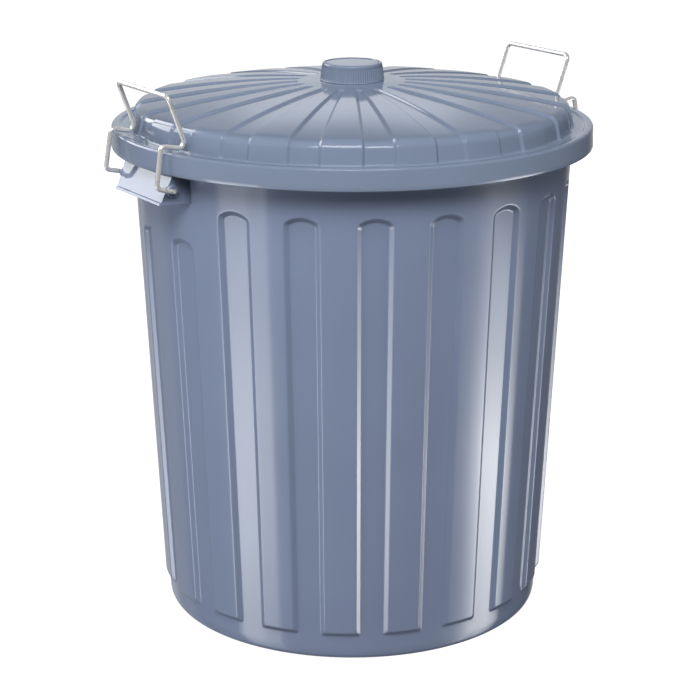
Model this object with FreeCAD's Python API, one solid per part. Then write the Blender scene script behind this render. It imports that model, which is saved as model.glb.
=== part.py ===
import FreeCAD, Part
import math
import os

os.makedirs("parts", exist_ok=True)
V = FreeCAD.Vector

# ---------------------------------------------------------------- dimensions, mm
N_PANELS = 20               # sunk panels round the wall, and sunk wedges round the lid
PITCH = 360.0 / N_PANELS
FIRST = PITCH / 2.0         # a raised land is centred on each handle

# body wall
LAND_R0 = 205.3             # raised surface, radius at the floor line
LAND_SLOPE = 0.0457         # radius gained per mm of height
SUNK = 4.1                  # how far the panels lie below the lands
WALL = 2.4                  # wall thickness
BAND_TOP = 32.0             # top of the plain base band
BASE_FILLET = 7.4
FLOOR_T = 2.6
FOOT_IN = 182.0             # inner radius of the foot ring
FOOT_RISE = 3.0             # floor centre stands this far off the ground
PANEL_HALF = 4.55           # half angle of a panel at land level, degrees
PANEL_DRAFT = 1.2           # angle lost by each sloping side
PANEL_TOP_DRAFT = 4.6       # height lost by the sloping top
PANEL_TOP = 468.0           # crown of the arched panel top
PANEL_TOP_LOW = 430.0       # crown of the panels beside a bracket
ARCH = 7.0                  # arch height

# rim
RIM_TOP = 511.0
RIM_R = 246.3
RIM_LIP = 500.6
RIM_T = 2.4

# bracket boxes
BR_BOT = 468.6
BR_TOP = 498.2
BR_FACE_BOT = (250.5, 47.0)
BR_FACE_TOP = (237.5, 50.4)
BR_BACK_R = 210.0
BR_BACK_T = (57.0, 57.2)
BR_WALL = 2.7
LIP_H = 2.6
LIP_OUT = 1.3
BOSS_R = 6.6
BOSS_FACE = 52.5            # flat face round the pin hole, distance from the middle of the box

# wire handles
WIRE_R = 2.4
PIN_CLEAR = 0.06
PIV_R = 237.5
PIV_Z = 482.5
PIN_IN = 44.0
BEND = 4.6

# lid
CAP_Z = 563.1               # top of the dome
CAP_RS = 1150.0             # dome sphere radius
SHOULDER_R = 12.0
WALL_TOP_R = 226.3
WALL_FOOT_R = 229.2
LEDGE_Z = 518.3
BEAD_IN = 240.8
BEAD_TOP = 520.7
BEAD_ROUND = 2.5
SKIRT_TOP_R = 249.3
SKIRT_R = 250.0
SKIRT_BOT = 498.75
LID_T = 2.3
WEDGE_SUNK = 2.3
WEDGE_HALF = 4.15           # half angle of a sunk wedge, degrees
WEDGE_IN = 55.0             # inner end of a sunk wedge
SEAT_R = (232.5, 235.5)     # ring under the ledge that sits on the rim
SEAT_GAP = 0.3
LID_TURN = 0.8              # the round lid sits turned by this much on the rim, degrees

# knob
KNOB_Z = 562.6
KNOB_H = 18.4
KNOB_R0 = 33.2
KNOB_R1 = 31.0
KNOB_T = 2.4
FLUTES = 80
FLUTE_D = 0.6
STEM_R = 9.9
STEM_HOLE = 10.0


def rad(a):
    return a * math.pi / 180.0


def land_r(z):
    return LAND_R0 + LAND_SLOPE * z


def revolve(points):
    """Turn a closed r-z outline about the vertical axis. A point can be an arc's middle: ('m', r, z)."""
    edges = []
    pts = list(points)
    i = 0
    n = len(pts)
    while i < n:
        a = pts[i]
        b = pts[(i + 1) % n]
        if b[0] == "m":
            c = pts[(i + 2) % n]
            edges.append(Part.Arc(V(a[0], 0, a[1]), V(b[1], 0, b[2]), V(c[0], 0, c[1])).toShape())
            i += 2
        else:
            edges.append(Part.makeLine(V(a[0], 0, a[1]), V(b[0], 0, b[1])))
            i += 1
    face = Part.Face(Part.Wire(edges))
    return face.revolve(V(0, 0, 0), V(0, 0, 1), 360)


def turned(shape, angle):
    s = shape.copy()
    s.rotate(V(0, 0, 0), V(0, 0, 1), angle)
    return s


def pocket(half_out, half_in, top, arch, low_z, grow):
    """Arched prism along the sloping wall, facing +X: wide outside, narrow inside."""
    def outline(d):
        # d is the distance outside the land surface; widths follow the radial planes of the wall
        k = (half_out - half_in) / SUNK
        half = half_out + k * d
        crown = top + (PANEL_TOP_DRAFT / SUNK) * d + grow

        def x(z):
            return land_r(z) * math.cos(rad(half_out)) + d

        def w(z):
            return land_r(z) * math.tan(rad(half)) + grow
        zs = crown - arch
        p1 = V(x(low_z), -w(low_z), low_z)
        p2 = V(x(low_z), w(low_z), low_z)
        p3 = V(x(zs), w(zs), zs)
        p4 = V(x(crown), 0, crown)
        p5 = V(x(zs), -w(zs), zs)
        return Part.Wire([Part.makeLine(p1, p2), Part.makeLine(p2, p3),
                          Part.Arc(p3, p4, p5).toShape(), Part.makeLine(p5, p1)])
    reach = SUNK * 3
    return Part.makeLoft([outline(-reach), outline(reach)], True, True)


# ---------------------------------------------------------------- bin body
f = BASE_FILLET
s45 = math.sqrt(0.5)
rb = land_r(0) - SUNK
outer = revolve([
    (0, FOOT_RISE), (FOOT_IN - 3.0, FOOT_RISE), (FOOT_IN, 0), (rb - f, 0),
    ("m", rb - f + f * s45, f - f * s45), (rb, f), (land_r(BAND_TOP) - SUNK, BAND_TOP),
    (land_r(BAND_TOP), BAND_TOP), (land_r(RIM_TOP), RIM_TOP), (0, RIM_TOP)])

ft = FLOOR_T
ri = rb - WALL
fi = f - 1.5
cavity = revolve([
    (0, FOOT_RISE + ft), (FOOT_IN - 4.5, FOOT_RISE + ft), (FOOT_IN - 1.5, ft), (ri - fi, ft),
    ("m", ri - fi + fi * s45, ft + fi - fi * s45), (ri + 0.1, ft + fi),
    (land_r(BAND_TOP) - SUNK - WALL, BAND_TOP + WALL), (land_r(BAND_TOP + WALL) - WALL, BAND_TOP + WALL),
    (land_r(RIM_TOP + 5) - WALL, RIM_TOP + 5), (0, RIM_TOP + 5)])

sunk_core = revolve([(0, -20), (land_r(-20) - SUNK, -20), (land_r(560) - SUNK, 560), (0, 560)])
sunk_core_in = revolve([(0, -20), (land_r(-20) - SUNK - WALL, -20), (land_r(560) - SUNK - WALL, 560), (0, 560)])


def panel_tool(top, inner):
    grow = WALL * 0.95 if inner else 0.0
    low = BAND_TOP - 6.0
    tool = pocket(PANEL_HALF, PANEL_HALF - PANEL_DRAFT, top, ARCH, low, grow)
    return tool.cut(sunk_core_in if inner else sunk_core)


near_bracket = []
for a in (0.0, 180.0):
    near_bracket += [(a + FIRST) % 360.0, (a - FIRST) % 360.0]

cut_out, cut_in = [], []
tools = {}
for top in (PANEL_TOP, PANEL_TOP_LOW):
    tools[top] = (panel_tool(top, False), panel_tool(top, True))
for i in range(N_PANELS):
    ang = FIRST + PITCH * i
    top = PANEL_TOP_LOW if round(ang % 360.0, 3) in [round(b, 3) for b in near_bracket] else PANEL_TOP
    o, n = tools[top]
    cut_out.append(turned(o, ang))
    cut_in.append(turned(n, ang))

outer = outer.cut(cut_out)
cavity = cavity.cut(cut_in)
body = outer.cut(cavity)

# rolled rim: flange and turned-down lip
rim = revolve([
    (land_r(RIM_TOP) - WALL, RIM_TOP - RIM_T), (land_r(RIM_TOP) - WALL, RIM_TOP),
    (RIM_R - 1.2, RIM_TOP), ("m", RIM_R - 0.35, RIM_TOP - 0.35), (RIM_R, RIM_TOP - 1.2),
    (RIM_R, RIM_LIP), (RIM_R - RIM_T, RIM_LIP), (RIM_R - RIM_T, RIM_TOP - RIM_T)])
body = body.fuse(rim)


def quad(z, face, back_r, back_t):
    return Part.makePolygon([V(back_r, -back_t, z), V(face[0], -face[1], z), V(face[0], face[1], z),
                             V(back_r, back_t, z), V(back_r, -back_t, z)])


def lerp(a, b, k):
    return a + (b - a) * k


def bracket_section(z, inset):
    k = (z - BR_BOT) / (BR_TOP - BR_BOT)
    fr = lerp(BR_FACE_BOT[0], BR_FACE_TOP[0], k) - inset
    ft_ = lerp(BR_FACE_BOT[1], BR_FACE_TOP[1], k) - inset
    bt = lerp(BR_BACK_T[0], BR_BACK_T[1], k) - inset
    return quad(z, (fr, ft_), BR_BACK_R, bt)


def bracket():
    box = Part.makeLoft([bracket_section(BR_BOT, 0), bracket_section(BR_TOP, 0)], True, True)
    # raised edge along the foot of the face
    lip = Part.makeLoft([bracket_section(BR_BOT, -LIP_OUT), bracket_section(BR_BOT + LIP_H, -LIP_OUT)], True, True)
    lip = lip.common(Part.makeBox(40, 2 * (BR_FACE_BOT[1] + LIP_OUT), 40,
                                  V(BR_FACE_BOT[0] - 6.0, -(BR_FACE_BOT[1] + LIP_OUT), BR_BOT - 5)))
    box = box.fuse(lip)
    for s in (1, -1):
        boss = Part.makeCylinder(BOSS_R, 12.0, V(PIV_R, s * BOSS_FACE, PIV_Z), V(0, -s, 0))
        box = box.fuse(boss)
    hollow = Part.makeLoft([bracket_section(BR_BOT - 12, BR_WALL), bracket_section(BR_TOP - BR_WALL, BR_WALL)], True, True)
    for s in (1, -1):
        # thicker wall left round each pin hole
        keep = Part.makeCylinder(BOSS_R - 1.6, 6.4, V(PIV_R, s * BOSS_FACE, PIV_Z), V(0, -s, 0))
        hollow = hollow.cut(keep)
    box = box.cut(hollow)
    for s in (1, -1):
        spot = Part.makeCylinder(BOSS_R, 10.0, V(PIV_R, s * BOSS_FACE, PIV_Z), V(0, s, 0))
        box = box.cut(spot)
        hole = Part.makeCylinder(WIRE_R + PIN_CLEAR, 30.0, V(PIV_R, s * (BOSS_FACE + 8), PIV_Z), V(0, -s, 0))
        box = box.cut(hole)
    cone = revolve([(0, 400), (land_r(400) - 1.2, 400), (land_r(520) - 1.2, 520), (0, 520)])
    box = box.cut(cone)
    return max(box.Solids, key=lambda q: q.Volume)


br = bracket()
body = body.fuse([br, turned(br, 180.0)])
body = body.removeSplitter()
body = max(body.Solids, key=lambda q: q.Volume)
body.exportStep("parts/bin_body.step")

# ---------------------------------------------------------------- lid


def cap_z(r, drop=0.0):
    return CAP_Z - drop - r * r / (2.0 * CAP_RS)


def dome_points(off):
    """Outline of the dome from near the middle to the wall foot, moved inwards by off."""
    # dome slope angle where the shoulder starts
    top_r = WALL_TOP_R - SHOULDER_R * 0.804
    slope = math.atan(top_r / CAP_RS)
    foot_a = math.atan((WALL_FOOT_R - WALL_TOP_R) / 13.0)
    r = SHOULDER_R - off
    cx = top_r - SHOULDER_R * math.sin(slope)
    cz = cap_z(top_r) - SHOULDER_R * math.cos(slope)
    a0 = math.pi / 2 - slope
    a1 = foot_a
    am = 0.5 * (a0 + a1)
    start = (cx + r * math.cos(a0), cz + r * math.sin(a0))
    mid = (cx + r * math.cos(am), cz + r * math.sin(am))
    end = (cx + r * math.cos(a1), cz + r * math.sin(a1))
    return start, mid, end, foot_a


def dome_outline(off, foot_z, r_start=0.0):
    """List of outline points from (r_start, z) to the foot, with arc markers."""
    start, mid, end, fa = dome_points(off)
    pts = []
    def zc(r):
        return cap_z(r) - off
    pts.append((r_start, zc(r_start)))
    rm = 0.5 * (r_start + start[0])
    # dome arc through a middle point
    pts.append(("m", rm, 0.5 * (zc(r_start) + start[1]) + ((start[0] - r_start) ** 2) / (8.0 * CAP_RS)))
    pts.append(start)
    pts.append(("m", mid[0], mid[1]))
    pts.append(end)
    foot_r = end[0] + (end[1] - foot_z) * math.tan(fa)
    pts.append((foot_r, foot_z))
    return pts


b45 = BEAD_ROUND * (1 - s45)
raised = dome_outline(0.0, LEDGE_Z)
outer_lid = revolve(raised + [
    (BEAD_IN - 1.6, LEDGE_Z), (BEAD_IN + 1.4, BEAD_TOP), (SKIRT_TOP_R - BEAD_ROUND, BEAD_TOP),
    ("m", SKIRT_TOP_R - b45, BEAD_TOP - b45), (SKIRT_TOP_R, BEAD_TOP - BEAD_ROUND),
    (SKIRT_R, SKIRT_BOT + 1.0), (SKIRT_R - 0.8, SKIRT_BOT), (0, SKIRT_BOT)])

# wedge outline seen from above, pointing along +X
def wedge(half, grow, r_in, r_out):
    a = rad(half)
    c, s = math.cos(a), math.sin(a)
    # edges parallel to the radial lines, moved sideways by grow
    def on(r, sign):
        return V(r * c, sign * (r * s + grow), 470.0)
    p1, p2 = on(r_in + 4.0 - grow, 1), on(r_out, 1)
    p3, p4 = on(r_out, -1), on(r_in + 4.0 - grow, -1)
    tip = V((r_in - grow), 0, 470.0)
    w = Part.Wire([Part.makeLine(p1, p2), Part.makeLine(p2, p3), Part.makeLine(p3, p4),
                   Part.Arc(p4, tip, p1).toShape()])
    return Part.Face(w).extrude(V(0, 0, 120))


def band(off, foot_z, r_out, r_in):
    """Everything above the dome surface that lies off below the raised one."""
    pts = dome_outline(off, foot_z, r_in)
    return revolve(pts + [(r_out, foot_z), (r_out, 600.0), (r_in, 600.0)])


sunk_band = band(WEDGE_SUNK, LEDGE_Z, 231.5, 40.0)
w_out = wedge(WEDGE_HALF, 0.0, WEDGE_IN, 240.0).common(sunk_band)
lid_outer = outer_lid.cut([turned(w_out, FIRST + PITCH * i) for i in range(N_PANELS)])

under = LEDGE_Z - LID_T
in_pts = dome_outline(LID_T, under)
cav_lid = revolve(in_pts + [
    (SEAT_R[0], under), (SEAT_R[0], RIM_TOP + SEAT_GAP), (SEAT_R[1], RIM_TOP + SEAT_GAP), (SEAT_R[1], under),
    (BEAD_IN - 0.4, under), (BEAD_IN + 2.0, BEAD_TOP - LID_T), (SKIRT_TOP_R - 3.6, BEAD_TOP - LID_T),
    (SKIRT_TOP_R - 2.35, BEAD_TOP - LID_T - 1.3), (SKIRT_R - 2.6, SKIRT_BOT), (SKIRT_R - 2.6, SKIRT_BOT - 5),
    (0, SKIRT_BOT - 5)])
sunk_band_in = band(WEDGE_SUNK + LID_T, under, 231.0, 36.0)
w_in = wedge(WEDGE_HALF, LID_T * 0.9, WEDGE_IN, 240.0).common(sunk_band_in)
cav_lid = cav_lid.cut([turned(w_in, FIRST + PITCH * i) for i in range(N_PANELS)])
lid = lid_outer.cut(cav_lid)

# flat seat and hole for the knob
seat = revolve([(0, KNOB_Z), (KNOB_R0 + 0.6, KNOB_Z), (KNOB_R0 + 0.6, 580), (0, 580)])
lid = lid.cut(seat)
lid = lid.cut(Part.makeCylinder(STEM_HOLE, 40, V(0, 0, 540)))
lid = turned(max(lid.Solids, key=lambda q: q.Volume), LID_TURN)
lid.exportStep("parts/lid.step")

# ---------------------------------------------------------------- knob
top_z = KNOB_Z + KNOB_H


def knob_r(z):
    return KNOB_R0 + (KNOB_R1 - KNOB_R0) * (z - KNOB_Z) / KNOB_H


e = 1.6
kr = knob_r(top_z)
core = revolve([
    (0, KNOB_Z), (KNOB_R0 - 0.4, KNOB_Z), (KNOB_R0, KNOB_Z + 0.4), (knob_r(KNOB_Z + 1.0), KNOB_Z + 1.0),
    (knob_r(KNOB_Z + 1.0) - FLUTE_D, KNOB_Z + 1.0),
    (knob_r(top_z - 3.4) - FLUTE_D, top_z - 3.4), (knob_r(top_z - 3.4), top_z - 3.4), (kr, top_z - e),
    ("m", kr - e + e * s45, top_z - e + e * s45), (kr - e, top_z),
    (kr - e - 0.6, top_z - 0.35), (0, top_z - 0.35)])


def star(z):
    pts = []
    r = knob_r(z)
    for i in range(FLUTES):
        a = 2 * math.pi * i / FLUTES
        b = 2 * math.pi * (i + 0.5) / FLUTES
        pts.append(V(r * math.cos(a), r * math.sin(a), z))
        pts.append(V((r - FLUTE_D) * math.cos(b), (r - FLUTE_D) * math.sin(b), z))
    pts.append(pts[0])
    return Part.makePolygon(pts)


flutes = Part.makeLoft([star(KNOB_Z + 0.7), star(top_z - 3.0)], True, True)
knob = core.fuse(flutes)
shell = revolve([(STEM_R + 2.0, KNOB_Z - 1), (KNOB_R0 - KNOB_T - 0.6, KNOB_Z - 1),
                 (knob_r(top_z - 3) - KNOB_T - 0.6, top_z - KNOB_T - 0.6), (STEM_R + 2.0, top_z - KNOB_T - 0.6)])
knob = knob.cut(shell)
under_lid = cap_z(0) - LID_T
stem = revolve([(STEM_R - 2.2, under_lid - 3.4), (STEM_R - 0.4, under_lid - 3.4), (STEM_R + 0.45, under_lid - 1.9),
                (STEM_R + 0.45, under_lid - 0.9), (STEM_R, under_lid - 0.5), (STEM_R, KNOB_Z + 1.0),
                (STEM_R - 2.2, KNOB_Z + 1.0)])
bore = revolve([(0, KNOB_Z - 1), (STEM_R - 2.2, KNOB_Z - 1), (STEM_R - 2.2, top_z - KNOB_T - 0.6), (0, top_z - KNOB_T - 0.6)])
knob = knob.fuse(stem).cut(bore)
knob = max(knob.Solids, key=lambda q: q.Volume)
knob.exportStep("parts/lid_knob.step")

# ---------------------------------------------------------------- wire handles
# centre line of one half: (distance out, distance from the middle, height, bend radius)
HALF = [
    (242.0, 53.0, 574.6, 6.0),     # top corner
    (222.9, 53.4, 522.5, 6.0),     # inner corner above the ledge
    (251.2, 53.9, 528.3, BEND),    # over the bead
    (257.7, 55.2, 487.5, BEND),    # below the skirt
    (PIV_R, 56.9, PIV_Z, 3.6),     # turn into the pin hole
    (PIV_R, PIN_IN, PIV_Z, 0.0),
]


def wire_path(pts, radii):
    edges = []
    cur = pts[0]
    for i in range(1, len(pts) - 1):
        p0, p1, p2 = pts[i - 1], pts[i], pts[i + 1]
        u = (p0 - p1).normalize()
        w = (p2 - p1).normalize()
        ang = u.getAngle(w)
        r = radii[i]
        t = r / math.tan(ang / 2.0)
        a = p1 + u * t
        b = p1 + w * t
        bis = (u + w).normalize()
        m = p1 + bis * (r / math.sin(ang / 2.0) - r)
        if (a - cur).Length > 1e-6:
            edges.append(Part.makeLine(cur, a))
        edges.append(Part.Arc(a, m, b).toShape())
        cur = b
    edges.append(Part.makeLine(cur, pts[-1]))
    return Part.Wire(edges)


def handle():
    full = [V(x, y, z) for (x, y, z, r) in reversed(HALF)] + [V(x, -y, z) for (x, y, z, r) in HALF]
    radii = [r for (x, y, z, r) in reversed(HALF)] + [r for (x, y, z, r) in HALF]
    path = wire_path(full, radii)
    d = (full[1] - full[0]).normalize()
    prof = Part.Wire([Part.makeCircle(WIRE_R, full[0], d)])
    pipe = path.makePipeShell([prof], True, False)
    return pipe


right = handle()
right = max(right.Solids, key=lambda q: q.Volume) if right.Solids else right
right.exportStep("parts/wire_handle_right.step")
turned(right, 180.0).exportStep("parts/wire_handle_left.step")

print("body", round(body.Volume / 1000.0, 1), body.isValid(), "lid", round(lid.Volume / 1000.0, 1), lid.isValid(),
      "knob", round(knob.Volume / 1000.0, 1), knob.isValid(), "wire", round(right.Volume / 1000.0, 2), right.isValid())
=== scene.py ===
import bpy
import math
import numpy as np
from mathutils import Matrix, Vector


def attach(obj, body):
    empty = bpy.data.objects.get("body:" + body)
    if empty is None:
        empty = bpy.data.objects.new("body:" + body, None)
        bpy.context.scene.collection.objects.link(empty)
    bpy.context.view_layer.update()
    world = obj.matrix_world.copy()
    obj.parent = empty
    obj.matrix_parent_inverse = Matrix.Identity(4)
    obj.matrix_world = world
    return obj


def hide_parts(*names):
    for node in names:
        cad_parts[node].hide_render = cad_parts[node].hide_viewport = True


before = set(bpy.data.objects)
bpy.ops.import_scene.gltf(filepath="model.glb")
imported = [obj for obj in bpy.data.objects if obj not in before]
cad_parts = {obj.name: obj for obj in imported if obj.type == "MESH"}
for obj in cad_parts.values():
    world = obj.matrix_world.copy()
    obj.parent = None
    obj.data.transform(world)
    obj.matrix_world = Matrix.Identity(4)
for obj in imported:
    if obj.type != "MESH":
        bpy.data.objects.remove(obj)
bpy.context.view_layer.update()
MM = 0.001

# ------------------------------------------------------------------ sizes, mm, as on the part
N_PANELS = 20
PITCH = 360.0 / N_PANELS
LAND_R0, LAND_SLOPE, SUNK, WALL = 205.3, 0.0457, 4.1, 2.4
BAND_TOP, BASE_FILLET, FLOOR_T, FOOT_IN, FOOT_RISE = 32.0, 7.4, 2.6, 182.0, 3.0
PANEL_HALF, PANEL_RAMP, PANEL_TOP, PANEL_TOP_LOW, ARCH_R = 4.55, 4.7, 468.0, 430.0, 26.6
RIM_TOP, RIM_R, RIM_LIP, RIM_T = 511.0, 246.3, 500.6, 2.4
CAP_Z, CAP_RS, SHOULDER_R = 563.1, 1150.0, 12.0
WALL_TOP_R, WALL_FOOT_R, LEDGE_Z = 226.3, 229.2, 518.3
BEAD_IN, BEAD_TOP, BEAD_ROUND = 240.8, 520.7, 2.5
SKIRT_TOP_R, SKIRT_R, SKIRT_BOT, LID_T = 249.3, 249.9, 498.8, 2.3
WEDGE_SUNK, WEDGE_HALF, WEDGE_IN, WEDGE_RAMP = 2.3, 4.15, 55.0, 2.6
KNOB_Z, KNOB_H, KNOB_R0, KNOB_R1, FLUTES, FLUTE_D = 562.6, 18.35, 33.15, 30.95, 80, 0.6
LID_TURN = 0.8
WIRE_R, PIV_R, PIV_Z = 2.39, 237.5, 482.5
rad = math.radians


# ------------------------------------------------------------------ helpers
def ramp(d, width, soft):
    """0 outside the edge, 1 past its sloping side, with both bends rounded."""
    def q(x):
        return np.where(x <= 0, 0.0, np.where(x >= width, x - width / 2, x * x / (2 * width)))
    return (q(d + soft) - q(d - soft)) / (2 * soft)


def smin(a, b, k):
    h = np.clip(0.5 + 0.5 * (b - a) / k, 0, 1)
    return b * (1 - h) + a * h - k * h * (1 - h)


def smax(a, b, k):
    return -smin(-a, -b, k)


def add_mesh(name, verts, faces, smooth=True):
    """verts in mm, faces as lists of corners; the shell is turned so that it faces outwards."""
    v = np.asarray(verts, float)
    vol = 0.0
    for n in (3, 4):
        f = np.array([q for q in faces if len(q) == n], int)
        if len(f):
            for a, b, c in ((0, 1, 2),) if n == 3 else ((0, 1, 2), (0, 2, 3)):
                vol += float(np.einsum("ij,ij->i", v[f[:, a]], np.cross(v[f[:, b]], v[f[:, c]])).sum())
    if vol < 0:
        faces = [list(reversed(q)) for q in faces]
    me = bpy.data.meshes.new(name)
    me.from_pydata((v * MM).tolist(), [], faces)
    me.validate()
    me.polygons.foreach_set("use_smooth", [smooth] * len(me.polygons))
    me.update()
    ob = bpy.data.objects.new(name, me)
    bpy.context.scene.collection.objects.link(ob)
    return ob


def lathe(r, z, angles, poles):
    """Shell of rows by columns. r, z and angles are rows x columns. poles: heights of a centre point
    before the first and after the last row, or None where the rows close on themselves."""
    rows, cols = r.shape
    x, y = r * np.cos(angles), r * np.sin(angles)
    verts = np.stack([x, y, z], -1).reshape(-1, 3)
    i = np.arange(rows if poles is None else rows - 1)[:, None]
    j = np.arange(cols)[None, :]
    i2, j2 = (i + 1) % rows, (j + 1) % cols
    q = np.stack([i * cols + j, i * cols + j2, i2 * cols + j2, i2 * cols + j], -1).reshape(-1, 4)
    faces = q.tolist()
    if poles is not None:
        n = len(verts)
        verts = np.vstack([verts, [[0, 0, poles[0]], [0, 0, poles[1]]]])
        k = np.arange(cols)
        faces += np.stack([np.full(cols, n), (k + 1) % cols, k], -1).tolist()
        b = (rows - 1) * cols
        faces += np.stack([np.full(cols, n + 1), b + k, b + (k + 1) % cols], -1).tolist()
    return verts, faces


def arc(cx, cz, rr, a0, a1, n):
    """Points on an arc from angle a0 to a1, both ends included."""
    t = np.radians(np.linspace(a0, a1, n))
    return [(cx + rr * math.cos(a), cz + rr * math.sin(a)) for a in t]


# ------------------------------------------------------------------ materials
def nodes_of(name):
    mat = bpy.data.materials.new(name)
    mat.use_nodes = True
    nt = mat.node_tree
    nt.nodes.clear()
    out = nt.nodes.new("ShaderNodeOutputMaterial")
    bsdf = nt.nodes.new("ShaderNodeBsdfPrincipled")
    nt.links.new(bsdf.outputs[0], out.inputs[0])
    return mat, nt, bsdf


def plastic(name, base, rough, bump, scale=1.0):
    """Glossy moulding: slight tone drift, fine uneven gloss, a very faint flow ripple."""
    mat, nt, bsdf = nodes_of(name)
    tc = nt.nodes.new("ShaderNodeTexCoord")
    slow = nt.nodes.new("ShaderNodeTexNoise")
    slow.inputs["Scale"].default_value = 9.0 * scale
    slow.inputs["Detail"].default_value = 3.0
    nt.links.new(tc.outputs["Object"], slow.inputs["Vector"])
    cr = nt.nodes.new("ShaderNodeValToRGB")
    cr.color_ramp.elements[0].position, cr.color_ramp.elements[1].position = 0.3, 0.7
    cr.color_ramp.elements[0].color = tuple(c * 0.965 for c in base) + (1,)
    cr.color_ramp.elements[1].color = tuple(min(1, c * 1.035) for c in base) + (1,)
    nt.links.new(slow.outputs["Fac"], cr.inputs["Fac"])
    nt.links.new(cr.outputs["Color"], bsdf.inputs["Base Color"])
    fine = nt.nodes.new("ShaderNodeTexNoise")
    fine.inputs["Scale"].default_value = 60.0 * scale
    fine.inputs["Detail"].default_value = 5.0
    nt.links.new(tc.outputs["Object"], fine.inputs["Vector"])
    mr = nt.nodes.new("ShaderNodeMapRange")
    mr.inputs["To Min"].default_value = rough * 0.85
    mr.inputs["To Max"].default_value = rough * 1.2
    nt.links.new(fine.outputs["Fac"], mr.inputs["Value"])
    nt.links.new(mr.outputs["Result"], bsdf.inputs["Roughness"])
    rip = nt.nodes.new("ShaderNodeTexNoise")
    rip.inputs["Scale"].default_value = 22.0 * scale
    rip.inputs["Detail"].default_value = 2.0
    nt.links.new(tc.outputs["Object"], rip.inputs["Vector"])
    bp = nt.nodes.new("ShaderNodeBump")
    bp.inputs["Strength"].default_value = bump
    bp.inputs["Distance"].default_value = 0.0006
    nt.links.new(rip.outputs["Fac"], bp.inputs["Height"])
    nt.links.new(bp.outputs["Normal"], bsdf.inputs["Normal"])
    bsdf.inputs["IOR"].default_value = 1.5
    return mat


def steel(name):
    """Zinc-plated drawn wire: soft grey, faint mottling, blurred gloss."""
    mat, nt, bsdf = nodes_of(name)
    tc = nt.nodes.new("ShaderNodeTexCoord")
    n = nt.nodes.new("ShaderNodeTexNoise")
    n.inputs["Scale"].default_value = 70.0
    n.inputs["Detail"].default_value = 3.0
    nt.links.new(tc.outputs["Object"], n.inputs["Vector"])
    cr = nt.nodes.new("ShaderNodeValToRGB")
    cr.color_ramp.elements[0].position, cr.color_ramp.elements[1].position = 0.3, 0.7
    cr.color_ramp.elements[0].color = (0.76, 0.755, 0.74, 1)
    cr.color_ramp.elements[1].color = (0.86, 0.855, 0.84, 1)
    nt.links.new(n.outputs["Fac"], cr.inputs["Fac"])
    nt.links.new(cr.outputs["Color"], bsdf.inputs["Base Color"])
    mr = nt.nodes.new("ShaderNodeMapRange")
    mr.inputs["To Min"].default_value = 0.24
    mr.inputs["To Max"].default_value = 0.32
    nt.links.new(n.outputs["Fac"], mr.inputs["Value"])
    nt.links.new(mr.outputs["Result"], bsdf.inputs["Roughness"])
    bsdf.inputs["Metallic"].default_value = 0.6
    return mat


BASE = (0.169, 0.208, 0.304)
MAT_BODY = plastic("blue_grey_moulding_body", BASE, 0.08, 0.035)
LID_BASE = (0.165, 0.205, 0.283)
MAT_LID = plastic("blue_grey_moulding_lid", LID_BASE, 0.09, 0.035)
MAT_KNOB = plastic("blue_grey_moulding_knob", LID_BASE, 0.08, 0.02, 3.0)
MAT_WIRE = steel("plated_steel_wire")


def finish_piece(ob, body, mat, node=None):
    ob.data.materials.clear()
    ob.data.materials.append(mat)
    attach(ob, body)
    if node:
        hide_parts(node)


# ------------------------------------------------------------------ body wall, rim and floor
def land_r(z):
    return LAND_R0 + LAND_SLOPE * z


half = [0.45, 1.25, 2.0, 2.65, 3.0, 3.15, 3.27, 3.38, 3.5, 3.65, 3.8, 3.95, 4.1, 4.22, 4.34, 4.44, 4.53, 4.62,
        4.72, 4.85, 5.2, 6.0, 7.0, 8.0]
local = np.array([-a for a in reversed(half)] + half + [9.0])
centres = np.arange(N_PANELS) * PITCH + PITCH / 2
ang = (centres[:, None] + local[None, :]).ravel()
off = np.tile(local, N_PANELS)
low_col = np.repeat(np.isin(np.round(centres % 360, 3), [9.0, 351.0, 171.0, 189.0]), len(local))
cols = len(ang)


def wall_radius(z0, z, extra=0.0):
    """Outer wall radius. z0 is the row height before it is sheared to follow the arch."""
    R = land_r(z)
    u = np.abs(np.radians(off)) * R
    hw = np.radians(PANEL_HALF) * R
    ds = hw - u
    crown = np.where(low_col, PANEL_TOP_LOW, PANEL_TOP)
    cosn = np.sqrt(np.clip(1 - (np.minimum(u, 18.2) / ARCH_R) ** 2, 0.3, 1))
    dt = (crown - z0) * cosn
    d = smin(ds, dt, 2.6)
    db = BAND_TOP - z
    d = smax(d, db, 3.0)
    return R - SUNK * ramp(d + extra, PANEL_RAMP, 0.85)


def shear(z0):
    """How far a row is pulled down along the arch, by column."""
    u = np.minimum(np.abs(np.radians(off)) * land_r(z0), 17.6)
    drop = ARCH_R - np.sqrt(ARCH_R ** 2 - u ** 2)
    w = 0.0
    for top in (PANEL_TOP, PANEL_TOP_LOW):
        up = max(0.0, 1 - max(0.0, z0 - top - 3) / 14.0)
        dn = max(0.0, 1 - max(0.0, top - 9 - z0) / 14.0)
        w = max(w, up * dn)
    return drop * w


def around(top):
    return [top - 21, top - 16, top - 12, top - 9, top - 7.7, top - 6.8] + \
        [top - 6.2 + 0.55 * k for k in range(14)] + [top + 1.8, top + 3, top + 6, top + 10, top + 14]


wall_rows = [9.5, 14, 19, 23, 25, 26, 26.7, 27.4, 28.1, 28.9, 29.7, 30.5, 31.2, 31.9, 32.6, 33.3, 34.2, 36, 42, 60,
             95, 140, 185, 230, 275, 320, 355, 385, 400] + around(PANEL_TOP_LOW) + around(PANEL_TOP) + [490, 499]

R_, Z_, = [], []


def row(r, z):
    R_.append(np.broadcast_to(np.asarray(r, float), (cols,)).copy())
    Z_.append(np.broadcast_to(np.asarray(z, float), (cols,)).copy())


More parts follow.
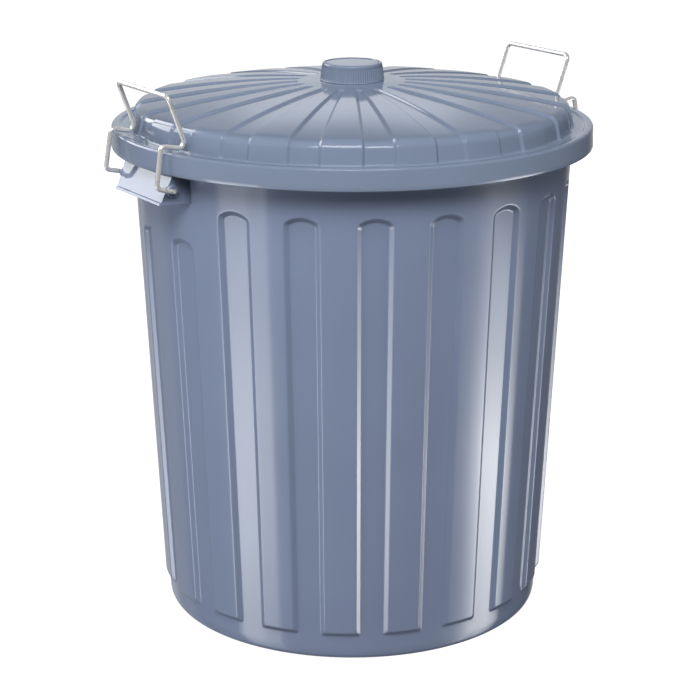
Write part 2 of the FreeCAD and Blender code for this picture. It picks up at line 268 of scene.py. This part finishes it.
rb = land_r(0) - SUNK
f = BASE_FILLET
for r, z in [(60, FOOT_RISE), (120, FOOT_RISE), (165, FOOT_RISE), (FOOT_IN - 4, FOOT_RISE), (FOOT_IN - 2.6, FOOT_RISE - 0.35),
             (FOOT_IN - 0.5, 0.3), (FOOT_IN + 0.7, 0), (188, 0)]:
    row(r, z)
for r, z in arc(rb - f, f, f, -90, 0, 9):
    row(r, z)
for z0 in wall_rows:
    z = z0 - shear(z0)
    row(wall_radius(z0, z), z)
# rim: small fillet under the flange, lip, rounded top edge
for r, z in [(228.6, 506.6), (228.9, 507.7), (229.8, 508.4), (231.2, 508.6), (242.3, 508.6), (243.4, 508.3), (243.85, 507.2),
             (243.9, 501.4), (244.3, 500.75), (245.1, 500.6), (245.9, 500.8), (246.3, 501.5)]:
    row(r, z)
for r, z in arc(RIM_R - 1.8, RIM_TOP - 1.8, 1.8, 0, 90, 6):
    row(r, z)
for r, z in [(229.5, 511), (227.8, 510.8), (226.6, 510.0), (226.3, 508.8)]:
    row(r, z)
for z0 in [503] + list(reversed(wall_rows)):
    z = z0 - shear(z0)
    row(wall_radius(z0, z, 2.0) - WALL, z)
ri = rb - WALL
for r, z in reversed(arc(ri - 5.9, FLOOR_T + 5.9, 5.9, -90, -8, 7)):
    row(r, z)
for r, z in [(186, FLOOR_T), (FOOT_IN - 1.2, FLOOR_T), (FOOT_IN - 4.6, FOOT_RISE + FLOOR_T), (160, FOOT_RISE + FLOOR_T),
             (120, FOOT_RISE + FLOOR_T), (60, FOOT_RISE + FLOOR_T)]:
    row(r, z)
A = np.broadcast_to(np.radians(ang), (len(R_), cols))
v, fc = lathe(np.array(R_), np.array(Z_), A, (FOOT_RISE, FOOT_RISE + FLOOR_T))
body = add_mesh("bin_body_moulding", v, fc)
finish_piece(body, "bin", MAT_BODY, "bin_body")


# ------------------------------------------------------------------ bracket boxes on the body
BR_BOT, BR_TOP, BR_WALL = 468.6, 498.2, 2.7
BR_FACE_BOT, BR_FACE_TOP = (250.5, 47.0), (237.5, 50.4)
BR_BACK_T = (57.0, 57.2)
BOSS_R, BOSS_FACE = 6.6, 52.5


def box_ring(z, inset, back):
    k = (z - BR_BOT) / (BR_TOP - BR_BOT)
    fx = BR_FACE_BOT[0] + (BR_FACE_TOP[0] - BR_FACE_BOT[0]) * k - inset
    fy = BR_FACE_BOT[1] + (BR_FACE_TOP[1] - BR_FACE_BOT[1]) * k - inset
    by = BR_BACK_T[0] + (BR_BACK_T[1] - BR_BACK_T[0]) * k - inset
    return [(back, -by, z), (fx, -fy, z), (fx, fy, z), (back, by, z)]


def modifier(ob, kind, **kw):
    m = ob.modifiers.new(kind, kind)
    for k, val in kw.items():
        setattr(m, k, val)
    return m


def apply_all(ob):
    dg = bpy.context.evaluated_depsgraph_get()
    me = bpy.data.meshes.new_from_object(ob.evaluated_get(dg))
    ob.modifiers.clear()
    ob.data = me


def cylinder_y(name, r, y0, y1, x, z, n=48):
    t = np.linspace(0, 2 * np.pi, n, endpoint=False)
    a = np.stack([x + r * np.cos(t), np.full(n, y0), z + r * np.sin(t)], -1)
    b = a.copy()
    b[:, 1] = y1
    vs = np.vstack([a, b])
    fs = [[i, (i + 1) % n, n + (i + 1) % n, n + i] for i in range(n)]
    fs += [list(range(n)), list(range(n, 2 * n))[::-1]]
    me = bpy.data.meshes.new(name)
    me.from_pydata((vs * MM).tolist(), [], fs)
    ob = bpy.data.objects.new(name, me)
    bpy.context.scene.collection.objects.link(ob)
    import bmesh
    bm = bmesh.new()
    bm.from_mesh(me)
    bmesh.ops.recalc_face_normals(bm, faces=bm.faces)
    bm.to_mesh(me)
    bm.free()
    return ob


def turn_half(pts):
    return [(-x, -y, z) for x, y, z in pts]


def solid(name, rings, side):
    """Closed box from rings of four corners, bottom ring first."""
    vs = [p for r in rings for p in r]
    if side < 0:
        vs = turn_half(vs)
    fs = []
    for r in range(len(rings) - 1):
        for i in range(4):
            j = (i + 1) % 4
            fs.append([4 * r + i, 4 * r + j, 4 * r + 4 + j, 4 * r + 4 + i])
    n = 4 * (len(rings) - 1)
    fs.append([n, n + 1, n + 2, n + 3])
    fs.append([3, 2, 1, 0])
    return add_mesh(name, vs, fs, False)


def wall_cone(name, z0, z1, n=360):
    """Solid that fills the bin up to just inside the outer face of its wall."""
    t = np.linspace(0, 2 * np.pi, n, endpoint=False)
    rings = [np.stack([(land_r(z) - 1.2) * np.cos(t), (land_r(z) - 1.2) * np.sin(t), np.full(n, z)], -1) for z in (z0, z1)]
    vs = np.vstack(rings)
    me = bpy.data.meshes.new(name)
    fs = [[i, (i + 1) % n, n + (i + 1) % n, n + i] for i in range(n)]
    fs += [list(range(n))[::-1], list(range(n, 2 * n))]
    me.from_pydata((vs * MM).tolist(), [], fs)
    ob = bpy.data.objects.new(name, me)
    bpy.context.scene.collection.objects.link(ob)
    return ob


def make_bracket(side, name):
    """Open-bottomed box with a raised lower edge, its open back lying on the wall. side +1 is out along +X."""
    zs = [BR_BOT, BR_BOT + 2.3, BR_BOT + 2.9, BR_TOP]
    outs = [1.3, 1.3, 0.0, 0.0]
    rings = []
    for z, o in zip(zs, outs):
        q = box_ring(z, 0.0, 210.0)
        rings.append([q[0], (q[1][0] + o, q[1][1] - 0.2 * o, z), (q[2][0] + o, q[2][1] + 0.2 * o, z), q[3]])
    ob = solid(name, rings, side)
    modifier(ob, "BEVEL", width=0.0007, segments=3, limit_method="ANGLE", angle_limit=rad(12), harden_normals=False)
    apply_all(ob)
    hollow = solid("hollow", [box_ring(BR_BOT - 6, BR_WALL, 205.0), box_ring(BR_TOP - BR_WALL, BR_WALL, 205.0)], side)
    cutters = [hollow, wall_cone("cone", 440.0, 520.0)]
    for s in (1, -1):
        cutters.append(cylinder_y("cut", WIRE_R + 0.07, s * 43.0, s * 60.0, side * PIV_R, PIV_Z))
    for c in cutters:
        modifier(ob, "BOOLEAN", operation="DIFFERENCE", solver="EXACT", object=c)
    bpy.context.view_layer.update()
    apply_all(ob)
    for c in cutters:
        bpy.data.objects.remove(c, do_unlink=True)
    ob.data.polygons.foreach_set("use_smooth", [True] * len(ob.data.polygons))
    modifier(ob, "WEIGHTED_NORMAL", keep_sharp=True)
    apply_all(ob)
    return ob


def make_boss(side, s, name):
    """Round collar about the pin hole, with a rounded rim."""
    hole = WIRE_R + 0.07
    prof = [(hole, 46.3), (BOSS_R, 46.3), (BOSS_R, BOSS_FACE - 0.8), (BOSS_R - 0.25, BOSS_FACE - 0.25), (BOSS_R - 0.8, BOSS_FACE),
            (hole + 0.9, BOSS_FACE), (hole + 0.25, BOSS_FACE - 0.25), (hole, BOSS_FACE - 0.8)]
    n = 64
    t = np.linspace(0, 2 * np.pi, n, endpoint=False)
    vs = []
    for r, y in prof:
        for a in t:
            vs.append((side * (PIV_R + r * math.cos(a)), side * s * y, PIV_Z + r * math.sin(a)))
    fs = []
    m = len(prof)
    for i in range(m):
        for j in range(n):
            fs.append([i * n + j, i * n + (j + 1) % n, ((i + 1) % m) * n + (j + 1) % n, ((i + 1) % m) * n + j])
    ob = add_mesh(name, vs, fs)
    modifier(ob, "WEIGHTED_NORMAL", keep_sharp=True)
    apply_all(ob)
    return ob


for side, tag in ((1, "right"), (-1, "left")):
    br = make_bracket(side, "bracket_" + tag)
    finish_piece(br, "bin", MAT_BODY)
    for s, end in ((1, "a"), (-1, "b")):
        bo = make_boss(side, s, "pin_collar_%s_%s" % (tag, end))
        finish_piece(bo, "bin", MAT_BODY)


# ------------------------------------------------------------------ lid
def cap_z(r):
    return CAP_Z - r * r / (2 * CAP_RS)


top_r = WALL_TOP_R - SHOULDER_R * 0.804
slope = math.degrees(math.atan(top_r / CAP_RS))
foot_a = math.degrees(math.atan((WALL_FOOT_R - WALL_TOP_R) / 13.0))
CX = top_r - SHOULDER_R * math.sin(rad(slope))
CZ = cap_z(top_r) - SHOULDER_R * math.cos(rad(slope))
DOME_R = [36, 42, 48, 51.5] + [52.5 + 0.55 * k for k in range(24)] + [67, 71, 78, 88, 100, 115, 132, 150, 168, 186, 200, 210]


def dome_rows(drop, foot_z, foot_fillet, outwards):
    """Dome from just outside the knob seat to the ledge, lying drop under the raised surface."""
    pts = [(r, cap_z(r) - drop) for r in DOME_R]
    pts += arc(CX, CZ, SHOULDER_R - drop, 90 - slope, foot_a, 12)
    ex, ez = pts[-1]
    t = math.tan(rad(foot_a))
    zf = foot_z + foot_fillet
    for k in (0.35, 0.7, 1.0):
        z = ez + (zf - ez) * k
        pts.append((ex + (ez - z) * t, z))
    fx = ex + (ez - zf) * t
    if outwards:
        pts += [(fx + foot_fillet * (1 - math.cos(rad(a))), zf - foot_fillet * math.sin(rad(a))) for a in (22, 45, 68, 90)]
    else:
        pts += [(fx + 0.02 * k, foot_z + foot_fillet * (1 - k / 4)) for k in (1, 2, 3, 4)]
    return pts


raised, sunk = dome_rows(0, LEDGE_Z, 2.3, True), dome_rows(WEDGE_SUNK, LEDGE_Z, 2.3, True)
common_out = [(233.2, LEDGE_Z), (236, LEDGE_Z), (238.0, LEDGE_Z), (238.9, LEDGE_Z + 0.1), (239.7, LEDGE_Z + 0.5), (241.3, BEAD_TOP - 0.55),
              (242.0, BEAD_TOP - 0.15), (242.9, BEAD_TOP), (244.6, BEAD_TOP)]
common_out += arc(SKIRT_TOP_R - BEAD_ROUND, BEAD_TOP - BEAD_ROUND, BEAD_ROUND, 90, 0, 9)
common_out += [(SKIRT_TOP_R + 0.2, 510), (SKIRT_R - 0.1, 504), (SKIRT_R, SKIRT_BOT + 1.1), (SKIRT_R - 0.25, SKIRT_BOT + 0.4), (SKIRT_R - 0.85, SKIRT_BOT),
               (SKIRT_R - 1.8, SKIRT_BOT), (SKIRT_R - 2.3, SKIRT_BOT + 0.3), (SKIRT_R - 2.5, SKIRT_BOT + 1.0),
               (SKIRT_TOP_R - 2.3, 510), (SKIRT_TOP_R - 2.35, BEAD_TOP - LID_T - 1.4), (SKIRT_TOP_R - 3.6, BEAD_TOP - LID_T),
               (243.0, BEAD_TOP - LID_T), (240.6, LEDGE_Z - LID_T), (236.2, LEDGE_Z - LID_T), (235.5, LEDGE_Z - LID_T - 0.7), (235.5, 511.8),
               (235.1, 511.3), (232.9, 511.3), (232.5, 511.8), (232.5, LEDGE_Z - LID_T - 0.7), (231.9, LEDGE_Z - LID_T)]
in_raised = list(reversed(dome_rows(LID_T, LEDGE_Z - LID_T, 1.5, False)))
in_sunk = list(reversed(dome_rows(WEDGE_SUNK + LID_T, LEDGE_Z - LID_T, 1.5, False)))
centre_out = [(10.0, KNOB_Z - 0.4), (10.4, KNOB_Z), (20, KNOB_Z), (33.2, KNOB_Z)]
centre_in = [(30, cap_z(30) - LID_T), (20, cap_z(20) - LID_T), (10.4, cap_z(10) - LID_T), (10.0, cap_z(10) - LID_T + 0.4)]

p0 = centre_out + raised + common_out + in_raised + centre_in
p1 = centre_out + sunk + common_out + in_sunk + centre_in
kind = [0] * len(centre_out) + [1] * len(raised) + [0] * len(common_out) + [2] * len(in_raised) + [0] * len(centre_in)

d_cols = [3.5, 3.1, 2.75, 2.45, 2.1, 1.75, 1.4, 1.05, 0.7, 0.4, 0.15, -0.1, -0.35, -0.7, -1.3]


def lid_angles(r):
    rr = max(r, 66.0)
    a = [math.degrees(math.asin(d / rr)) for d in d_cols]
    edge = [WEDGE_HALF - x for x in a]
    first = edge[0]
    last = edge[-1]
    h = [first * 0.2, first * 0.6] + edge + [last + (9 - last) * k for k in (0.2, 0.45, 0.72)]
    return np.array([-x for x in reversed(h)] + h + [9.0])


LR, LZ, LA = [], [], []
for (r0, z0), (r1, z1), k in zip(p0, p1, kind):
    loc = lid_angles(r0)
    if k:
        a = np.radians(np.abs(loc))
        ds = r0 * np.sin(rad(WEDGE_HALF) - a)
        px, py = r0 * np.cos(a), r0 * np.sin(a)
        tip_c, tip_r = WEDGE_IN + 4.1, 4.1 + 0.18
        dtip = np.where(px < tip_c, tip_r - np.hypot(px - tip_c, py), 99.0)
        d = np.minimum(ds, dtip)
        m = ramp(d + (2.0 if k == 2 else 0.0), WEDGE_RAMP, 0.6)
    else:
        m = np.zeros(len(loc))
    LR.append(np.tile(r0 + (r1 - r0) * m, N_PANELS))
    LZ.append(np.tile(z0 + (z1 - z0) * m, N_PANELS))
    LA.append(np.radians((centres[:, None] + loc[None, :]).ravel() + LID_TURN))
v, fc = lathe(np.array(LR), np.array(LZ), np.array(LA), None)
lid = add_mesh("lid_moulding", v, fc)
finish_piece(lid, "lid", MAT_LID, "lid")

# ------------------------------------------------------------------ knob
top_z = KNOB_Z + KNOB_H
n_f = 12
kc = FLUTES * n_f
ka = np.linspace(0, 2 * np.pi, kc, endpoint=False)
phase = (np.arange(kc) % n_f) / n_f
flute = 0.5 - 0.5 * np.cos(2 * np.pi * phase)
flute = flute ** 0.7


def knob_r(z):
    return KNOB_R0 + (KNOB_R1 - KNOB_R0) * (z - KNOB_Z) / KNOB_H


kp = []
e = 1.9
kr = knob_r(top_z)
kp += [(12.5, KNOB_Z + 0.02, 0), (30.5, KNOB_Z + 0.02, 0), (KNOB_R0 - 0.4, KNOB_Z + 0.02, 0), (KNOB_R0 - 0.08, KNOB_Z + 0.2, 0), (KNOB_R0, KNOB_Z + 0.45, 0),
       (knob_r(KNOB_Z + 0.9), KNOB_Z + 0.9, 0), (knob_r(KNOB_Z + 1.15), KNOB_Z + 1.15, 0.5), (knob_r(KNOB_Z + 1.5), KNOB_Z + 1.5, 1.0)]
for k in range(1, 6):
    z = KNOB_Z + 1.5 + (top_z - 3.9 - KNOB_Z - 1.5) * k / 6
    kp.append((knob_r(z), z, 1.0))
kp += [(knob_r(top_z - 3.9), top_z - 3.9, 1.0), (knob_r(top_z - 3.4), top_z - 3.4, 0.6), (knob_r(top_z - 3.0), top_z - 3.0, 0.0)]
kp += [(x, z, 0) for x, z in arc(kr - e, top_z - e, e, 0, 90, 7)]
kp += [(kr - e - 0.5, top_z - 0.03, 0), (kr - e - 0.75, top_z - 0.3, 0), (kr - e - 0.95, top_z - 0.75, 0), (kr - e - 1.35, top_z - 0.9, 0),
       (kr - e - 1.75, top_z - 0.75, 0), (kr - e - 1.95, top_z - 0.45, 0), (kr - e - 2.3, top_z - 0.3, 0), (20, top_z - 0.22, 0), (10, top_z - 0.18, 0)]
KR = np.array([r - FLUTE_D * a * flute for r, z, a in kp])
KZ = np.array([np.full(kc, z) for r, z, a in kp])
v, fc = lathe(KR, KZ, np.broadcast_to(ka, KR.shape), (KNOB_Z + 0.02, top_z - 0.15))
knob = add_mesh("lid_knob_moulding", v, fc)
finish_piece(knob, "lid", MAT_KNOB, "lid_knob")
# snap stem under the lid
under = cap_z(0) - LID_T
sp = [(7.7, KNOB_Z + 2.0), (9.9, KNOB_Z + 2.0), (9.9, under - 0.6), (10.3, under - 1.0), (10.3, under - 1.9), (9.5, under - 3.3), (7.7, under - 3.4)]
sa = np.linspace(0, 2 * np.pi, 72, endpoint=False)
SR = np.array([np.full(72, r) for r, z in sp])
SZ = np.array([np.full(72, z) for r, z in sp])
v, fc = lathe(SR, SZ, np.broadcast_to(sa, SR.shape), None)
stem = add_mesh("lid_knob_stem", v, fc, False)
finish_piece(stem, "lid", MAT_KNOB)

# ------------------------------------------------------------------ wires
HALF = [
    (242.0, 53.0, 574.6, 6.0), (222.9, 53.4, 522.5, 6.0), (251.2, 53.9, 528.3, 4.6),
    (257.7, 55.2, 487.5, 4.6), (PIV_R, 56.9, PIV_Z, 3.6), (PIV_R, 44.0, PIV_Z, 0.0)]


def wire(side, name):
    pts = [Vector((x, y, z)) for x, y, z, r in reversed(HALF)] + [Vector((x, -y, z)) for x, y, z, r in HALF]
    rs = [r for x, y, z, r in reversed(HALF)] + [r for x, y, z, r in HALF]
    line = [pts[0]]
    for i in range(1, len(pts) - 1):
        a, b, c = pts[i - 1], pts[i], pts[i + 1]
        u, w = (a - b).normalized(), (c - b).normalized()
        an = u.angle(w)
        t = rs[i] / math.tan(an / 2)
        p, q = b + u * t, b + w * t
        cen = b + (u + w).normalized() * (rs[i] / math.sin(an / 2))
        n = 12
        v0, v1 = p - cen, q - cen
        turn = v0.angle(v1)
        ax = v0.cross(v1).normalized()
        if (p - line[-1]).length > 30:
            line.append(line[-1].lerp(p, 0.5))
        for k in range(n + 1):
            from mathutils import Quaternion
            line.append(cen + Quaternion(ax, turn * k / n) @ v0)
    line.append(pts[-1])
    clean = [line[0]]
    for p in line[1:]:
        if (p - clean[-1]).length > 0.05:
            clean.append(p)
    line = clean
    ns = 20
    tang = []
    for i in range(len(line)):
        a = line[max(i - 1, 0)]
        b = line[min(i + 1, len(line) - 1)]
        tang.append((b - a).normalized())
    nrm = tang[0].orthogonal().normalized()
    verts = []
    rings = 0

    def ring(c, t, nr, r):
        bn = t.cross(nr)
        for k in range(ns):
            a = 2 * math.pi * k / ns
            verts.append(c + nr * (r * math.cos(a)) + bn * (r * math.sin(a)))
    seq = []
    for i, p in enumerate(line):
        t = tang[i]
        nrm = (nrm - t * nrm.dot(t)).normalized()
        seq.append((p, t, nrm.copy(), WIRE_R))
    p, t, nr, r = seq[0]
    q, t2, nr2, r2 = seq[-1]
    seq = [(p, t, nr, r - 0.45), (p + t * 0.12, t, nr, r - 0.15), (p + t * 0.45, t, nr, r)] + seq[1:-1] + \
        [(q - t2 * 0.45, t2, nr2, r2), (q - t2 * 0.12, t2, nr2, r2 - 0.15), (q, t2, nr2, r2 - 0.45)]
    for s_ in seq:
        ring(*s_)
        rings += 1
    fs = []
    for i in range(rings - 1):
        for k in range(ns):
            fs.append([i * ns + k, i * ns + (k + 1) % ns, (i + 1) * ns + (k + 1) % ns, (i + 1) * ns + k])
    n0 = len(verts)
    verts.append(line[0])
    verts.append(line[-1])
    for k in range(ns):
        fs.append([n0, (k + 1) % ns, k])
        b = (rings - 1) * ns
        fs.append([n0 + 1, b + k, b + (k + 1) % ns])
    vs = [(side * v_.x, side * v_.y, v_.z) for v_ in verts]
    return add_mesh(name, vs, fs)


for side, tag in ((1, "right"), (-1, "left")):
    w = wire(side, "wire_" + tag)
    finish_piece(w, tag + "_wire", MAT_WIRE, "wire_handle_" + tag)

# ------------------------------------------------------------------ floor, light, camera
fl = bpy.data.meshes.new("floor")
fl.from_pydata([(-40, -40, -0.0004), (40, -40, -0.0004), (40, 40, -0.0004), (-40, 40, -0.0004)], [], [[0, 1, 2, 3]])
floor = bpy.data.objects.new("floor", fl)
bpy.context.scene.collection.objects.link(floor)
mat, nt, bsdf = nodes_of("pale_floor")
bsdf.inputs["Base Color"].default_value = (0.14, 0.14, 0.14, 1)
bsdf.inputs["Roughness"].default_value = 0.8
bsdf.inputs["Emission Color"].default_value = (1, 1, 1, 1)
bsdf.inputs["Emission Strength"].default_value = 0.96
fl.materials.append(mat)
# a pale dome far behind everything, so that a low view has the same plain background on every side
ring_n, tiers = 48, 8
dome_v = [(36 * math.cos(rad(90 * k / tiers)) * math.cos(2 * math.pi * i / ring_n), 36 * math.cos(rad(90 * k / tiers)) * math.sin(2 * math.pi * i / ring_n),
           36 * math.sin(rad(90 * k / tiers)) - 0.01) for k in range(tiers) for i in range(ring_n)] + [(0, 0, 36)]
dome_f = [[k * ring_n + i, k * ring_n + (i + 1) % ring_n, (k + 1) * ring_n + (i + 1) % ring_n, (k + 1) * ring_n + i]
          for k in range(tiers - 1) for i in range(ring_n)]
dome_f += [[(tiers - 1) * ring_n + i, (tiers - 1) * ring_n + (i + 1) % ring_n, tiers * ring_n] for i in range(ring_n)]
dm = bpy.data.meshes.new("backdrop")
dm.from_pydata(dome_v, [], dome_f)
dm.materials.append(mat)
backdrop = bpy.data.objects.new("backdrop", dm)
bpy.context.scene.collection.objects.link(backdrop)
for ob in (floor, backdrop):
    ob.visible_glossy = False
    ob.visible_shadow = False
    ob.visible_diffuse = False

CAM = Vector((-1.1035, -1.7188, 0.8991))
TO = Vector((-0.5403, -0.8415, 0)).normalized()      # from the object towards the camera
RT = Vector((0.8415, -0.5403, 0)).normalized()


def way(az, el):
    a, b = rad(az), rad(el)
    return (TO * math.cos(a) + RT * math.sin(a)) * math.cos(b) + Vector((0, 0, math.sin(b)))


def softbox(name, az, el, dist, width, height, level, centre=(0, 0, 0.3), spread=180):
    d = way(az, el)
    li = bpy.data.lights.new(name, "AREA")
    li.shape = "RECTANGLE"
    li.size, li.size_y = width, height
    li.energy = level * math.pi * width * height
    li.spread = rad(spread)
    ob = bpy.data.objects.new(name, li)
    bpy.context.scene.collection.objects.link(ob)
    ob.location = Vector(centre) + d * dist
    ob.rotation_euler = (-d).to_track_quat("-Z", "Y").to_euler()
    return ob


front = softbox("front_high", 0, 46, 2.6, 2.4, 1.4, 6.3)
front.visible_glossy = False
card = softbox("left_back", -121, 27, 2.2, 1.43, 1.43, 4.9, (0, 0, 0.42))
card.visible_diffuse = False
fill = softbox("back_fill", 180, 8, 2.6, 2.2, 1.3, 3.0, (0, 0, 0.35))
fill.visible_glossy = False
side_fill = softbox("left_fill", -80, 0, 2.6, 2.0, 1.4, 4.0)
side_fill.visible_glossy = False

# surroundings: a white backdrop behind the object, a soft upright light low on either side, dim elsewhere
world = bpy.data.worlds.new("studio")
bpy.context.scene.world = world
world.use_nodes = True
wn = world.node_tree
bg = wn.nodes["Background"]


def put(sock, val):
    if isinstance(val, (int, float)):
        sock.default_value = val
    else:
        wn.links.new(val, sock)


def calc(op, x, y=0.0):
    m = wn.nodes.new("ShaderNodeMath")
    m.operation = op
    put(m.inputs[0], x)
    put(m.inputs[1], y)
    return m.outputs[0]


def curve(src, pts):
    """Smooth run through (position, value) points."""
    x0, x1 = pts[0][0], pts[-1][0]
    m = wn.nodes.new("ShaderNodeMapRange")
    put(m.inputs["Value"], src)
    m.inputs["From Min"].default_value = x0
    m.inputs["From Max"].default_value = x1
    r = wn.nodes.new("ShaderNodeValToRGB")
    r.color_ramp.interpolation = "LINEAR"
    top = max(v_ for _, v_ in pts)
    e_ = r.color_ramp.elements
    e_[0].color = (pts[0][1] / top,) * 3 + (1,)
    e_[1].color = (pts[-1][1] / top,) * 3 + (1,)
    for x, v_ in pts[1:-1]:
        q = e_.new((x - x0) / (x1 - x0))
        q.color = (v_ / top,) * 3 + (1,)
    wn.links.new(m.outputs["Result"], r.inputs["Fac"])
    return calc("MULTIPLY", r.outputs["Color"], top)


tc = wn.nodes.new("ShaderNodeTexCoord")
gen = tc.outputs["Generated"]


def along(v_):
    d = wn.nodes.new("ShaderNodeVectorMath")
    d.operation = "DOT_PRODUCT"
    wn.links.new(gen, d.inputs[0])
    d.inputs[1].default_value = tuple(v_)
    return d.outputs["Value"]


az = calc("DEGREES", calc("ARCTAN2", along(RT), along(TO)))
el = calc("DEGREES", calc("ARCSINE", along(Vector((0, 0, 1)))))
round_az = calc("MODULO", calc("ADD", az, 360), 360)
wide = curve(round_az, [(140, 0), (147, 0.03), (154, 0.2), (163, 0.5), (170, 0.62), (176, 0.78), (181, 0.95), (186, 0.85), (190, 0.7), (197, 0.7), (206, 0.5), (213, 0.25),
                        (220, 0)])
narrow = curve(round_az, [(169, 0), (172.5, 0.25), (174.5, 0.85), (176, 1), (183.5, 1), (185.5, 0.85), (188, 0.2), (191, 0)])
white = calc("MULTIPLY", wide, curve(el, [(-45, 0.70), (-12, 0.62), (-5, 0.62), (4, 0.78), (9, 0.9), (13, 0.76), (17, 0.54), (20, 0.43),
                                          (26, 0.40), (30.6, 0.15), (34, 0)]))
white = calc("ADD", white, calc("MULTIPLY", narrow, curve(el, [(12, 0), (14, 0.14), (17, 0.6), (19, 0.8), (23, 0.98), (26, 0.8), (28.4, 0.42),
                                                               (30.6, 0.08), (32, 0)])))
left = calc("MULTIPLY", curve(az, [(-79, 0), (-76, 0.06), (-71, 0.97), (-58, 1.03), (-54, 0.72), (-46.5, 0.68), (-44, 0.14), (-37, 0)]),
            curve(el, [(-50, 0), (-38, 0.35), (-29.5, 0.57), (-28.3, 0.70), (-26.6, 0.96), (-23.8, 1.0), (-20.9, 0.78), (-18.4, 0.54), (-17, 0.3), (-15.5, 0.1), (-13, 0)]))
right = calc("MULTIPLY", curve(az, [(54, 0), (58.5, 0.07), (63, 0.12), (69, 0.28), (75, 0.64), (79, 1), (93, 1), (99, 0.62), (103, 0.4), (106, 0)]),
             curve(el, [(-50, 0), (-38, 0.3), (-28.3, 0.6), (-26.6, 0.76), (-23.8, 1.0), (-20.9, 0.58), (-18.4, 0.38), (-16, 0.05), (-14, 0)]))
high = calc("MULTIPLY", curve(az, [(-28, 0), (-23, 1), (23, 1), (28, 0)]), curve(el, [(38, 0), (41, 1), (53, 1), (57, 0)]))
soft = calc("ADD", calc("ADD", calc("MULTIPLY", left, 6.3), calc("MULTIPLY", right, 10.2)), 0.06)
soft = calc("ADD", soft, calc("MULTIPLY", high, 8.0))
low = calc("MULTIPLY", curve(round_az, [(203, 0), (209, 1), (238, 1), (248, 0)]), curve(el, [(-45, 1), (-15, 1), (-8, 0)]))
soft = calc("ADD", soft, calc("MULTIPLY", low, 0.3))


def tint(val, colour):
    m = wn.nodes.new("ShaderNodeVectorMath")
    m.operation = "SCALE"
    m.inputs[0].default_value = colour
    wn.links.new(val, m.inputs["Scale"])
    return m.outputs["Vector"]


both = wn.nodes.new("ShaderNodeVectorMath")
both.operation = "ADD"
wn.links.new(tint(white, (0.96, 1.0, 1.06)), both.inputs[0])
wn.links.new(tint(soft, (1.0, 1.0, 1.0)), both.inputs[1])
wn.links.new(both.outputs["Vector"], bg.inputs["Color"])
bg.inputs["Strength"].default_value = 1.0

cam_data = bpy.data.cameras.new("camera")
cam_data.sensor_width = 36.0
cam_data.sensor_fit = "HORIZONTAL"
cam_data.lens = 101.93
cam_data.clip_start, cam_data.clip_end = 0.05, 200.0
cam = bpy.data.objects.new("camera", cam_data)
bpy.context.scene.collection.objects.link(cam)
cam.location = CAM
yaw, pitch = rad(0.066), rad(17.131)
fwd = -TO
fwd = Vector((fwd.x * math.cos(yaw) - fwd.y * math.sin(yaw), fwd.x * math.sin(yaw) + fwd.y * math.cos(yaw), 0))
look = fwd * math.cos(pitch) - Vector((0, 0, math.sin(pitch)))
cam.rotation_euler = look.to_track_quat("-Z", "Y").to_euler()
bpy.context.scene.camera = cam
bpy.context.scene.view_settings.view_transform = "Standard"
